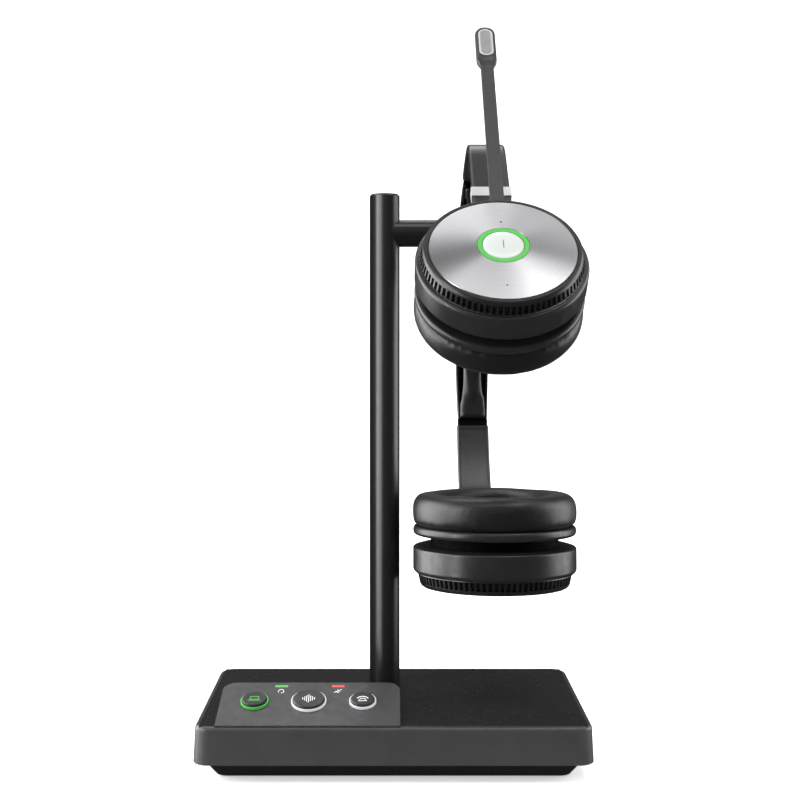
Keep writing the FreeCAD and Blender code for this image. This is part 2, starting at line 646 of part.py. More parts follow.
def cup_neck(name, side):
    """The disc between a cup's two halves; its slot lets the leg swing in."""
    play, deep = 0.02, S.gap_half * 2
    disc = rod(S.neck_radius, deep - play * 2, at(z=-S.gap_half + play))
    slot = block(S.bar_width + 0.6, S.neck_slot, deep + 2,
                 at(y=S.pin_offset + 1.6, z=-S.gap_half - 1))
    bore = rod(S.pin_radius + 0.03, S.pin_reach * 2 + 0.2,
               at(x=-S.pin_reach.value - 0.1, y=S.pin_offset, turn=ALONG_X))
    seat = rod(S.speaker_radius + 0.1, deep - S.neck_web, at(z=-S.gap_half - 0.1))
    node(cut(disc, slot, bore, seat), f"{name}_neck", side.cup_frame)
    pin = rod(S.pin_radius, S.pin_reach * 2, at(x=-S.pin_reach.value, turn=ALONG_X))
    node(pin, f"{name}_yoke_pin", side.cup_frame.multiply(at(y=S.pin_offset)))
    front, back = -S.gap_half - S.flange_height + 1, S.gap_half - S.neck_web - 0.2
    edge = S.speaker_radius
    speaker = turned([(0, front + 0.9), (S.speaker_dome, front + 0.3), (edge - 1, front),
                      (edge, front), (edge, front + S.speaker_rim), (S.magnet_radius, back),
                      (0, back)])
    node(speaker, f"{name}_speaker", side.cup_frame)


def cup_inner_side(name, side):
    """The flange over the gap, the cloth over the speaker and the cushion round it."""
    face = -S.gap_half - S.flange_height
    rim, edge, bore = S.flange_radius, 0.5, S.speaker_radius + 0.1
    flange = turned([(bore, face), (rim - edge, face), (rim, face + edge),
                     (rim, -S.gap_half - edge), (rim - edge, -S.gap_half), (bore, -S.gap_half)])
    node(flange, f"{name}_flange", side.cup_frame)
    cloth = rod(S.cloth_radius, S.cloth_height, at(z=face - S.cloth_height - RUNNING))
    node(cloth, f"{name}_speaker_cloth", side.cup_frame)
    low = face - RUNNING
    deep = face - S.cushion_depth
    out, bore = S.cushion_radius, S.cushion_bore
    ring = turned([(bore, low), (out - 0.8, low), (out, low - 2.4), (out, deep + 3.6),
                   (out - 1.6, deep + 1), (out - 4.6, deep), (bore + 4, deep),
                   (bore + 1, deep + 1), (bore, deep + 3)])
    node(ring, f"{name}_cushion", side.cup_frame)


def cup_housing(name, side):
    """A hollow shell, its hub standing in the middle for the ring and the disc."""
    foot, crest, rim = S.gap_half, S.housing_top, S.cup_radius
    hollow, edge = rim - S.housing_wall - 0.8, S.housing_edge
    floor = foot + S.housing_wall
    shell = turned([(0, foot), (rim - S.chamfer_width, foot), (rim, foot + S.chamfer_height),
                    (rim, crest - edge),
                    (rim - edge, crest), (hollow, crest), (hollow, floor), (S.hub_radius, floor),
                    (S.hub_radius, S.disc_under - RUNNING), (S.hub_bore, S.disc_under - RUNNING),
                    (S.hub_bore, floor), (0, floor)])
    node(shell, f"{name}_housing", side.cup_frame)


def cap_ring(label, side):
    """The ring round the disc; it turns on the housing's hub where it carries the boom."""
    low = S.housing_top + 0.1
    web = low + S.ring_floor
    bore = S.hub_radius + 0.06
    seat = S.disc_radius + 0.2
    ring = turned([(bore, low), (S.ring_foot, low), (S.ring_crest, S.ring_top),
                   (seat, S.ring_top), (seat, web), (bore, web)])
    node(ring, label, side.cup_frame)


def dome_radius():
    edge, rise = S.disc_radius.value, S.disc_dome.value
    return (edge ** 2 + rise ** 2) / (2 * rise)


def disc(label, side, hole):
    """A shallow dome: a round plate trimmed by a large ball."""
    rise = S.disc_dome.value
    plate = rod(S.disc_radius, S.ring_top - S.disc_under + S.disc_dome, at(z=S.disc_under))
    ball = doc.addObject("Part::Sphere", f"ball_{next(spare_names)}")
    ball.Radius = dome_radius()
    ball.Placement = at(z=S.ring_top.value + rise - dome_radius())
    piece = common(plate, ball)
    if hole:
        piece = cut(piece, rod(hole, DEEP, at(z=S.disc_under - DEEP * 0.5)))
    node(piece, label, side.cup_frame)


def upper_cup_electronics():
    top = S.ring_top + S.disc_dome - 0.2
    floor = S.gap_half + S.housing_wall + RUNNING
    pipe = tube(S.led_outer, S.led_inner, top - floor, at(z=floor))
    node(pipe, "upper_led_ring", UPPER.cup_frame)
    board = tube(S.cup_board_outer, S.cup_board_inner, S.board_height, at(z=S.cup_board_level))
    node(board, "headset_board", UPPER.cup_frame)
    crest = S.ring_top + S.disc_dome + S.call_crown
    foot, rim, edge = S.call_level, S.call_radius, S.call_edge
    button = turned([(0, foot), (rim, foot), (rim, crest - edge), (rim - edge, crest - 0.1),
                     (S.call_flat, crest), (0, crest)])
    node(button, "call_button", UPPER.cup_frame)


def battery():
    cell = block(S.battery_length, S.battery_width, S.battery_height,
                 at(y=S.battery_y, z=S.battery_level))
    node(cell, "battery", LOWER.cup_frame)


# ---------------------------------------------------------------- microphone boom

def boom_frame():
    """Local Z runs along the boom; local Y faces away from the disc's outer side."""
    lean = math.radians(float(S.boom_lean))
    out = -UPPER.inner
    run = UPPER.along * math.cos(lean) + out * math.sin(lean)
    root = UPPER.cup + UPPER.along * S.boom_root.value + out * S.boom_level.value
    return frame(root, run.cross(vec(1, 0, 0)), run)


def microphone():
    strip = block(S.boom_width, S.boom_height, S.boom_length)
    strip = rounded(strip, S.boom_round, lambda e: e.Length > float(S.boom_length) * 0.9)
    node(strip, "mic_boom", boom_frame())
    head = block(S.head_width, S.head_height, S.head_length, at(z=S.boom_length + RUNNING))
    head = rounded(head, S.head_round, lambda e: True)
    face = -S.head_height * 0.5
    middle = S.boom_length + S.head_length * 0.5 + 2
    start = middle - S.grille_length * 0.5
    seat = block(S.grille_width + 0.1, 2, S.grille_length + 0.1,
                 at(y=face + S.grille_height - 1 + 0.05, z=start - 0.05))
    node(cut(head, seat), "mic_head", boom_frame())
    grille = block(S.grille_width, S.grille_height, S.grille_length,
                   at(y=face + S.grille_height * 0.5, z=start))
    node(grille, "mic_grille", boom_frame())


# ---------------------------------------------------------------- assembly

def build():
    base_housing()
    base_top_plate()
    base_bottom_cover()
    base_inside()
    control_panel()
    base_buttons()
    stand_pole()
    support_arm()
    headband()
    for name, side in (("upper", UPPER), ("lower", LOWER)):
        arm(name, side)
        slider(name, side)
        cup_neck(name, side)
        cup_inner_side(name, side)
        cup_housing(name, side)
    pads = [rod(S.contact_pad_radius, S.contact_pad_height, contact_seat(x)) for x in (-1, 1)]
    node(group(*pads), "headset_contacts", UPPER.mouth)
    cap_ring("boom_ring", UPPER)
    cap_ring("lower_cap_ring", LOWER)
    disc("upper_disc", UPPER, S.led_outer + 0.05)
    disc("lower_disc", LOWER, None)
    upper_cup_electronics()
    battery()
    microphone()


def check_and_write():
    doc.recompute()
    for piece in doc.Objects:
        if {"Invalid", "Error"} & set(piece.State):
            raise RuntimeError(f"{piece.Name} ({piece.Label}) failed: {piece.State}")
    for piece in nodes:
        if piece.Shape.isNull() or not piece.Shape.isValid():
            raise RuntimeError(f"{piece.Label} has no valid shape")
    os.makedirs("parts", exist_ok=True)
    for piece in nodes:
        piece.Shape.exportStep(f"parts/{piece.Label}.step")
    print(len(nodes), "sub-parts written")


build()
check_and_write()
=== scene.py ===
import json
import math

import bmesh
import bpy
from mathutils import Matrix, Vector, noise


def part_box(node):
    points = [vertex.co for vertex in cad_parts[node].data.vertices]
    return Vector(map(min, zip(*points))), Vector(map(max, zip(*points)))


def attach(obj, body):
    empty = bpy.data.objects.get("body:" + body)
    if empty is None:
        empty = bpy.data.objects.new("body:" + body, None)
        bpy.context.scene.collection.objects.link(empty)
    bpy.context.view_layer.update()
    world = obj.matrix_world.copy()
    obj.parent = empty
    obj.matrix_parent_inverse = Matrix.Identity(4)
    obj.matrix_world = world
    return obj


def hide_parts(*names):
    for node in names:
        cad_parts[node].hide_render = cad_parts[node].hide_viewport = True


# Office headset on its charging stand. Pieces are built in millimetres in the local frame of the
# cup, band, boom or key that they belong to, then placed in metres.

MM = 0.001
X = Vector((1, 0, 0))
MERGE_DISTANCE = 1e-7        # metres: points closer than this are one
NO_AREA = 1e-14              # square metres: a face smaller than this is stray
AXIS = 0.001                 # radius in mm that stands for the axis of a turned piece

CUP_RADIUS = 32.0            # outside of the housing
CUP_BORE = 29.4              # inside of the housing
HUB_BORE = 9.6               # inside of the tube round the call button
HUB_WALL = 1.6
RIBBED_RADIUS = 30.6         # outside of the ribbed ring round the disc
DISC_EDGE = 27.05            # outer radius of the spun disc
DISC_RISE = 2.0              # how much its middle stands above its rim
DISC_HOLE = 9.45             # its centre hole, on the upper cup
NO_HOLE = 0.02               # and on the lower one, too small to see
BUTTON_RADIUS = 7.55

BAND_RADIUS = 96.0           # middle of the headband's shell
BAND_TILT = math.radians(22.0)
BAND_HALF = math.radians(39.4)
BAND_GAP = math.radians(2.0)
BAND_CENTRE = (0.0381, 0.1462)   # Y and Z in metres

HEAD_START = 78.0            # along the boom, where the strip widens into the head
HEAD_HALF_WIDTH = 4.35
HEAD_HALF_DEPTH = 2.45

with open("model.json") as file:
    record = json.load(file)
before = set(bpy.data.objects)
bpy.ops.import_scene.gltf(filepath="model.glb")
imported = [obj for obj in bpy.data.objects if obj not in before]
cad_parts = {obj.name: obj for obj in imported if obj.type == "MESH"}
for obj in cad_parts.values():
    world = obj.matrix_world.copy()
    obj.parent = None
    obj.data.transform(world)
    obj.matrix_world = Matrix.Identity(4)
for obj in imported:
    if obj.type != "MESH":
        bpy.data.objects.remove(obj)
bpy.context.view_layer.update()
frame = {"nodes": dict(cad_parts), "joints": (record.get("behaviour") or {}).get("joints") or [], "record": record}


# ---------------------------------------------------------------- places read from the frame

def middle(node):
    """The middle of a node's box."""
    low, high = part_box(node)
    return (low + high) / 2


def placed(origin, x_axis, y_axis, z_axis):
    """A matrix that takes millimetres in a local frame to metres in the model's frame."""
    axes = Matrix((x_axis, y_axis, z_axis)).transposed().to_4x4()
    return Matrix.Translation(origin) @ axes @ Matrix.Scale(MM, 4)


def cup_frame(name, outward):
    """Local Z is the cup's outward axis and local Y points at its yoke pin, level with it."""
    pin = middle(f"{name}_yoke_pin")
    reach = pin - middle(f"{name}_flange")
    reach.x = 0
    reach -= outward * reach.dot(outward)
    along = reach.normalized()
    return placed(pin - reach, along.cross(outward), along, outward)


def joint(name):
    """A joint of the frame, by name."""
    return [j for j in frame["joints"] if j["name"] == name][0]


def heights(node, place):
    """The lowest and highest local height of a node, in millimetres."""
    back = place.inverted()
    levels = [(back @ v.co).z for v in frame["nodes"][node].data.vertices]
    return min(levels), max(levels)


UPPER_AXIS = -Vector(joint("boom_rotate")["axis"])
LOWER_AXIS = (middle("lower_flange") - middle("lower_speaker_cloth")).normalized()
CUPS = {"upper": cup_frame("upper", UPPER_AXIS), "lower": cup_frame("lower", LOWER_AXIS)}

RINGS = {"upper": "boom_ring", "lower": "lower_cap_ring"}

PRESS = -Vector(joint("pc_press")["axis"])          # the control panel's outward normal
SLOPE = PRESS.cross(X)                              # up the panel, away from the user


def key_frame(node, below=0.0, sunk=0.0):
    """Local Z stands on top of a node of the panel, and local Y runs up the slope."""
    top = max(v.co.dot(PRESS) for v in frame["nodes"][node].data.vertices) - sunk * MM
    spot = middle(node) - SLOPE * below * MM
    spot += PRESS * (top - spot.dot(PRESS))
    return placed(spot, X, SLOPE, PRESS)


# ---------------------------------------------------------------- mesh helpers

def soften(points, radius, steps=4):
    """Round the corners of a closed outline; each takes at most a share of its two sides."""
    share = 0.45
    out = []
    count = len(points)
    for i, point in enumerate(points):
        here = Vector(point)
        before = Vector(points[i - 1]) - here
        after = Vector(points[(i + 1) % count]) - here
        reach = min(radius, before.length * share, after.length * share)
        first = here + before.normalized() * reach
        last = here + after.normalized() * reach
        for k in range(steps + 1):
            t = k / steps
            out.append(first * (1 - t) ** 2 + here * 2 * t * (1 - t) + last * t ** 2)
    return out


def mesh_object(name, verts, faces, place, body, material, sharp=38):
    """A piece from local millimetres, on a body, with edges sharper than an angle kept crisp."""
    mesh = bpy.data.meshes.new(name)
    mesh.from_pydata([place @ Vector(v) for v in verts], [], faces)
    bm = bmesh.new()
    bm.from_mesh(mesh)
    bmesh.ops.remove_doubles(bm, verts=bm.verts, dist=MERGE_DISTANCE)
    bmesh.ops.recalc_face_normals(bm, faces=bm.faces)
    for face in bm.faces:
        face.smooth = True
    for edge in bm.edges:
        edge.smooth = len(edge.link_faces) < 2 or edge.calc_face_angle(0) < math.radians(sharp)
    bm.to_mesh(mesh)
    bm.free()
    obj = bpy.data.objects.new(name, mesh)
    bpy.context.scene.collection.objects.link(obj)
    mesh.materials.append(material)
    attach(obj, body)
    return obj


def lathe_data(outline, segments, shape=None):
    """Vertices and faces of an outline of (radius, height) turned about local Z."""
    verts, faces = [], []
    count = len(outline)
    for s in range(segments):
        turn = 2 * math.pi * s / segments
        for k, (radius, height) in enumerate(outline):
            if shape:
                radius, height = shape(s, k, radius, height)
            verts.append((radius * math.sin(turn), radius * math.cos(turn), height))
    for s in range(segments):
        a, b = s * count, ((s + 1) % segments) * count
        for k in range(count):
            n = (k + 1) % count
            faces.append((a + k, a + n, b + n, b + k))
    return verts, faces


def lathe(name, outline, place, body, material, segments=192, shape=None, sharp=38):
    """A turned piece, without the empty faces that an outline on the axis leaves."""
    verts, faces = lathe_data(outline, segments, shape)
    obj = mesh_object(name, verts, faces, place, body, material, sharp)
    bm = bmesh.new()
    bm.from_mesh(obj.data)
    flat = [f for f in bm.faces if f.calc_area() < NO_AREA]
    bmesh.ops.delete(bm, geom=flat, context="FACES_ONLY")
    bm.to_mesh(obj.data)
    bm.free()
    return obj


def sweep_data(sections):
    """Vertices and faces of a bar whose closed cross-sections are given in order."""
    verts = [point for section in sections for point in section]
    count = len(sections[0])
    faces = []
    for i in range(len(sections) - 1):
        a, b = i * count, (i + 1) * count
        for k in range(count):
            n = (k + 1) % count
            faces.append((a + k, a + n, b + n, b + k))
    faces.append(tuple(range(count))[::-1])
    last = (len(sections) - 1) * count
    faces.append(tuple(range(last, last + count)))
    return verts, faces


# ---------------------------------------------------------------- material helpers

class Shader:
    """A procedural material: a principled surface and the nodes that drive it."""

    def __init__(self, name, colour, roughness, metallic=0.0):
        self.material = bpy.data.materials.new(name)
        self.material.use_nodes = True
        self.nodes = self.material.node_tree.nodes
        self.links = self.material.node_tree.links
        self.surface = self.nodes["Principled BSDF"]
        self.set("Base Color", (*colour, 1))
        self.set("Roughness", roughness)
        self.set("Metallic", metallic)
        self.where = self.node("ShaderNodeTexCoord").outputs["Object"]
        self.colour = colour
        self.roughness = roughness

    def node(self, kind, **inputs):
        made = self.nodes.new(kind)
        for key, value in inputs.items():
            made.inputs[key.replace("_", " ")].default_value = value
        return made

    def set(self, key, value):
        self.surface.inputs[key].default_value = value

    def link(self, source, target):
        self.links.new(source, target)

    def noise(self, size, detail=3.0):
        """Noise whose features are about that many millimetres across."""
        made = self.node("ShaderNodeTexNoise", Scale=1 / (size * MM), Detail=detail)
        self.link(self.where, made.inputs["Vector"])
        return made.outputs["Fac"]

    def cells(self, size):
        """Rounded cells about that many millimetres across."""
        made = self.node("ShaderNodeTexVoronoi", Scale=1 / (size * MM))
        made.feature = "SMOOTH_F1"
        self.link(self.where, made.inputs["Vector"])
        return made.outputs["Distance"]

    def operate(self, kind, operation, values):
        """A maths node whose inputs are numbers, vectors or other nodes' outputs."""
        made = self.nodes.new(kind)
        made.operation = operation
        for socket, value in zip(made.inputs, values):
            if isinstance(value, bpy.types.NodeSocket):
                self.link(value, socket)
            else:
                socket.default_value = value
        return made

    def math(self, operation, *values):
        return self.operate("ShaderNodeMath", operation, values).outputs[0]

    def vector(self, operation, *values):
        return self.operate("ShaderNodeVectorMath", operation, values).outputs

    def spread(self, source, low, high):
        """Noise, which mostly lies between 0.3 and 0.7, spread over a range of values."""
        made = self.node("ShaderNodeMapRange", From_Min=0.3, From_Max=0.7, To_Min=low, To_Max=high)
        self.link(source, made.inputs["Value"])
        return made.outputs["Result"]

    def mix(self, factor, first, second):
        """A colour between two others, each a tuple or an output."""
        made = self.nodes.new("ShaderNodeMix")
        made.data_type = "RGBA"
        self.link(factor, made.inputs["Factor"])
        for socket, value in ((made.inputs[6], first), (made.inputs[7], second)):
            if isinstance(value, tuple):
                socket.default_value = (*value, 1)
            else:
                self.link(value, socket)
        return made.outputs[2]

    def vary(self, size, share, rough_share):
        """Slow changes of colour, and faster ones of roughness, over the surface."""
        slow = self.noise(size, 4.0)
        fast = self.noise(size * 0.35, 5.0)
        dark = tuple(c * (1 - share) for c in self.colour)
        light = tuple(min(1, c * (1 + share)) for c in self.colour)
        tint = self.mix(self.spread(slow, 0, 1), dark, light)
        self.link(tint, self.surface.inputs["Base Color"])
        rough = self.spread(fast, self.roughness * (1 - rough_share),
                            self.roughness * (1 + rough_share))
        self.link(rough, self.surface.inputs["Roughness"])
        return tint

    def wear_and_edge_highlight(self, tint, light, share=0.35):
        """Edges lighter, partly rubbed wear and partly a painted highlight: pointiness is 0.5 on a flat surface
        and more on an edge.
        """
        edge = self.node("ShaderNodeNewGeometry").outputs["Pointiness"]
        made = self.node("ShaderNodeMapRange", From_Min=0.53, From_Max=0.62, To_Min=0.0,
                         To_Max=share)
        self.link(edge, made.inputs["Value"])
        patchy = self.math("MULTIPLY", made.outputs["Result"], self.noise(2.0))
        worn_and_highlit_edges = self.mix(patchy, tint, light)
        self.link(worn_and_highlit_edges, self.surface.inputs["Base Color"])

    def bump(self, height, depth, strength=1.0, edge=0.0):
        """Relief of a depth in millimetres; edge rounds the shading of sharp corners."""
        made = self.node("ShaderNodeBump", Strength=strength, Distance=depth * MM)
        self.link(height, made.inputs["Height"])
        if edge:
            bevel = self.node("ShaderNodeBevel", Radius=edge * MM)
            bevel.samples = 4
            self.link(bevel.outputs["Normal"], made.inputs["Normal"])
        self.link(made.outputs["Normal"], self.surface.inputs["Normal"])


def moulded(name, colour, roughness, grain=0.25, depth=0.012, edge=0.25, wear_and_edge_highlight=True, gloss=0.5):
    """Moulded plastic with a fine spark-eroded grain."""
    shader = Shader(name, colour, roughness)
    tint = shader.vary(9.0, 0.08, 0.16)
    # Lighter edges: partly rubbed wear, partly a painted highlight.
    if wear_and_edge_highlight:
        shader.wear_and_edge_highlight(tint, tuple(min(1, c * 2.2 + 0.02) for c in colour))
    shader.set("Specular IOR Level", gloss)
    shader.bump(shader.noise(grain, 2.0), depth, edge=edge)
    return shader.material


def lacquered(name, colour, roughness=0.12, edge=0.2, coat=0.4):
    """Polished black plastic with faint smears and a little orange peel."""
    shader = Shader(name, colour, roughness)
    shader.vary(14.0, 0.06, 0.06)
    shader.set("Coat Weight", coat)
    shader.set("Coat Roughness", 0.06)
    shader.bump(shader.noise(3.0, 2.0), 0.003, edge=edge)
    return shader.material


def leatherette(name, colour):
    """Soft protein leather: fine irregular cells, faint creases and a low sheen."""
    shader = Shader(name, colour, 0.42)
    shader.vary(5.0, 0.08, 0.06)
    fine = shader.math("POWER", shader.cells(0.42), 0.6)
    relief = shader.math("ADD", fine, shader.math("MULTIPLY", shader.noise(3.2, 5.0), 0.8))
    shader.set("Sheen Weight", 0.03)
    shader.set("Sheen Roughness", 0.4)
    shader.bump(relief, 0.035, 0.7)
    return shader.material


def shaded(colour, share):
    """A share of a colour's brightness."""
    return tuple(c * share for c in colour)


def lit(name, colour, strength, roughness=0.35):
    """Frosted plastic that glows, a little uneven: a light behind it, save on the call button's cap, whose faint
    glow is painted light.
    """
    shader = Shader(name, colour, roughness)
    glow = shader.mix(shader.spread(shader.noise(2.5), 0, 1), shaded(colour, 0.88), colour)
    shader.link(glow, shader.surface.inputs["Emission Color"])
    shader.set("Emission Strength", strength)
    shader.bump(shader.noise(0.2), 0.008)
    return shader.material


def brushed(name, colour, roughness=0.3):
    """Bare metal with a fine uneven finish."""
    shader = Shader(name, colour, roughness, 1.0)
    shader.vary(4.0, 0.06, 0.3)
    shader.bump(shader.noise(0.12, 2.0), 0.006)
    return shader.material


def spun_metal(name, place, colour):
    """Aluminium turned on a lathe: fine rings about the disc's axis and a fan of reflections."""
    roughness, smoothest, roughest = 0.36, 0.31, 0.42
    shader = Shader(name, colour, roughness, 1.0)
    axis = (place.to_3x3() @ Vector((0, 0, 1))).normalized()
    offset = shader.vector("SUBTRACT", shader.where, place.translation)[0]
    around = shader.vector("CROSS_PRODUCT", axis, offset)[0]
    radius = shader.vector("LENGTH", around)["Value"]
    turn = shader.nodes.new("ShaderNodeVectorTransform")
    turn.vector_type = "VECTOR"
    turn.convert_from = "OBJECT"
    turn.convert_to = "WORLD"
    shader.link(around, turn.inputs[0])
    tangent = shader.vector("NORMALIZE", turn.outputs[0])[0]
    shader.link(tangent, shader.surface.inputs["Tangent"])
    shader.set("Anisotropic", 0.8)
    shader.set("Anisotropic Rotation", 0.25)

    def rings(size, detail):
        made = shader.node("ShaderNodeTexNoise", Scale=1 / (size * MM), Detail=detail)
        made.noise_dimensions = "1D"
        shader.link(radius, made.inputs["W"])
        return made.outputs["Fac"]

    grooves = rings(0.06, 2.0)
    tint = shader.mix(shader.spread(rings(0.8, 4.0), 0, 1), shaded(colour, 0.93), colour)
    shader.link(tint, shader.surface.inputs["Base Color"])
    rough = shader.spread(grooves, smoothest, roughest)
    shader.link(rough, shader.surface.inputs["Roughness"])
    shader.bump(grooves, 0.004, 0.5)
    return shader.material


def woven(name, colour, pitch=1.8):
    """Cloth whose crossing threads stand up a little."""
    shader = Shader(name, colour, 0.85)
    weft = shader.node("ShaderNodeTexWave", Scale=1 / (pitch * MM))
    warp = shader.node("ShaderNodeTexWave", Scale=1 / (pitch * MM))
    warp.bands_direction = "Y"
    shader.link(shader.where, weft.inputs["Vector"])
    shader.link(shader.where, warp.inputs["Vector"])
    threads = shader.math("MAXIMUM", weft.outputs["Fac"], warp.outputs["Fac"])
    tint = shader.mix(threads, shaded(colour, 0.3), colour)
    shader.link(tint, shader.surface.inputs["Base Color"])
    shader.bump(threads, 0.12)
    return shader.material


M = {
    "base_plastic": moulded("base_plastic", (0.033, 0.033, 0.035), 0.38),
    "panel_plastic": moulded("panel_plastic", (0.024, 0.024, 0.0255), 0.43, edge=0.4),
    "piano_black": lacquered("piano_black", (0.019, 0.019, 0.02), 0.28, coat=0.12),
    "black_plastic": moulded("black_plastic", (0.0045, 0.0045, 0.0045), 0.5),
    "anti_slip_rubber": moulded("anti_slip_rubber", (0.018, 0.018, 0.018), 0.8, 0.6, 0.05),
    "steel": brushed("steel", (0.52, 0.52, 0.53)),
    "circuit_board": moulded("circuit_board", (0.02, 0.1, 0.045), 0.4, wear_and_edge_highlight=False),
    "pole_black": lacquered("pole_black", (0.006, 0.006, 0.007), 0.32, edge=0.0, coat=0.0),
    "contact_gold": brushed("contact_gold", (0.83, 0.6, 0.25), 0.2),
    "green_light": lit("green_light", (0.06, 0.36, 0.05), 0.3),
    "red_light": lit("red_light", (0.5, 0.035, 0.035), 0.55),
    "white_light": lit("white_light", (0.5, 0.51, 0.54), 0.4),
    "button_black": moulded("button_black", (0.006, 0.006, 0.0065), 0.42, edge=0.1),
    "band_plastic": moulded("band_plastic", (0.011, 0.011, 0.0115), 0.33, edge=0.3),
    "band_gloss": lacquered("band_gloss", (0.006, 0.006, 0.006), 0.14),
    "leatherette": leatherette("leatherette", (0.0042, 0.0042, 0.0046)),
    "white_plastic": moulded("white_plastic", (0.52, 0.52, 0.53), 0.34, wear_and_edge_highlight=False),
    "cup_plastic": moulded("cup_plastic", (0.0095, 0.0095, 0.01), 0.36, edge=0.0),
    "ribbed_plastic": moulded("ribbed_plastic", (0.006, 0.006, 0.006), 0.34, edge=0.0),
    "speaker_black": moulded("speaker_black", (0.03, 0.03, 0.03), 0.5),
    "speaker_fabric": woven("speaker_fabric", (0.02, 0.02, 0.02)),
    "battery_wrap": moulded("battery_wrap", (0.06, 0.07, 0.25), 0.35, wear_and_edge_highlight=False),
    "boom_plastic": moulded("boom_plastic", (0.013, 0.0135, 0.0135), 0.44, edge=0.0),
    "mesh_metal": moulded("mesh_metal", (0.36, 0.36, 0.37), 0.36, wear_and_edge_highlight=False),
    "mark_white": lit("mark_white", (0.6, 0.61, 0.63), 0.4),
    "mark_grey": moulded("mark_grey", (0.12, 0.12, 0.13), 0.4, wear_and_edge_highlight=False),
    # The call button's cap glows faintly: painted light.
    "call_white": lit("call_white", (0.5, 0.53, 0.51), 0.14, 0.28),
    "upper_spun": spun_metal("upper_spun", CUPS["upper"], (0.51, 0.51, 0.525)),
    "lower_spun": spun_metal("lower_spun", CUPS["lower"], (0.51, 0.51, 0.525)),
    # Steel darkened to a share of its colour: painted shade on the hidden slider bars.
    "steel_painted_shade": brushed("steel_painted_shade", (0.16, 0.16, 0.165), 0.34),
    # Near black with almost no gloss: painted shade for deep gaps and the pieces inside them.
    "gap_painted_shade": moulded("gap_painted_shade", (0.001, 0.001, 0.001), 0.7, wear_and_edge_highlight=False, gloss=0.05),
}

# Hidden steel, darker than the slot's steel as painted shade, and the deep gaps and the spring, painted near black
# with no gloss as their shade: these don't take the finish of their slot.
OWN_LOOK = {"upper_neck": "gap_painted_shade", "lower_neck": "gap_painted_shade", "headband_spring": "gap_painted_shade",
            "upper_slider_bar": "steel_painted_shade", "lower_slider_bar": "steel_painted_shade"}


def dress_cad_nodes():
    """Give every node of the frame the material of its slot, or its own."""
    for part in frame["record"]["subparts"]:
        slots = frame["nodes"][part["node"]].material_slots
        material = M.get(OWN_LOOK.get(part["node"], part["material_slot"]))
        for slot in slots:
            if material:
                slot.material = material


# ---------------------------------------------------------------- ear cups

def cup_shell(name, place):
    """The housing, chamfered towards the gap, and the flange that carries the cushion."""
    joint_gap = 0.05
    foot = heights(f"{name}_neck", place)[1] + joint_gap
    top = heights(RINGS[name], place)[0] - 2 * joint_gap
    hub = heights(f"{name}_disc", place)[0] - joint_gap
    floor = foot + HUB_WALL
    hub_edge = HUB_BORE + HUB_WALL
    chamfer = CUP_RADIUS - 0.25
    outline = [(HUB_BORE, floor), (HUB_BORE, hub), (hub_edge, hub), (hub_edge, floor),
               (CUP_BORE, floor), (CUP_BORE, top), (CUP_RADIUS - 0.9, top),
               (chamfer, top - 0.55), (CUP_RADIUS, top - 1.3), (CUP_RADIUS, foot + 1.1),
               (chamfer, foot + 0.65), (CUP_BORE, foot), (HUB_BORE - 0.6, foot)]
    shell = lathe(f"{name}_cup_shell", soften(outline, 0.35), place, f"{name}_cup",
                  M["cup_plastic"])
    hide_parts(f"{name}_housing")
    face, back = heights(f"{name}_flange", place)
    window = 14.7
    edge = CUP_RADIUS - 0.05
    outline = [(window, face), (edge - 0.95, face), (edge - 0.35, face + 0.4),
               (edge, face + 1.2), (edge, back - 1.1), (edge - 0.45, back - 0.3),
               (edge - 1.35, back), (window, back)]
    flange = lathe(f"{name}_cup_flange", soften(outline, 0.4), place, f"{name}_cup",
                   M["cup_plastic"])
    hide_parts(f"{name}_flange")


def ribbed_ring(name, node, place, body):
    """The ring round the disc, with a row of short upright slots in its side."""
    slots, per_slot, depth = 84, 6, 1.3
    bottom, top = heights(node, place)
    low = bottom + 0.55
    high = top - 1.75
    seat = heights("lower_disc", CUPS["lower"])[0] - 0.4
    lip = DISC_EDGE + 0.2
    hub = HUB_BORE + HUB_WALL + 0.15
    edge = RIBBED_RADIUS
    slot_foot = (edge - 0.5, low)
    slot_head = (edge - 1.1, high)
    side = [(edge - 0.05, bottom), (edge, bottom + 0.35), (edge - 0.35, low - 0.1), slot_foot,
            slot_head, (edge - 1.2, high + 0.1), (edge - 1.3, top - 1.0),
            (edge - 1.75, top - 0.3), (edge - 2.2, top)]
    slotted_rows = (side.index(slot_foot), side.index(slot_head))
    web = [(lip + 0.2, top), (lip, top - 0.2), (lip, seat), (hub, seat), (hub, bottom)]

    def slotted(segment, row, radius, height):
        in_slot = row in slotted_rows and segment % per_slot < per_slot / 2
        return (radius - depth if in_slot else radius), height

    ring = lathe(name, side + web, place, body, M["ribbed_plastic"],
                 slots * per_slot, slotted, sharp=30)
    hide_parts(node)


def dome_height(radius):
    """Height of the spun disc's face at a radius."""
    crest = heights("lower_disc", CUPS["lower"])[1]
    ball = (DISC_EDGE ** 2 + DISC_RISE ** 2) / (2 * DISC_RISE)
    return crest - ball + math.sqrt(ball ** 2 - radius ** 2)


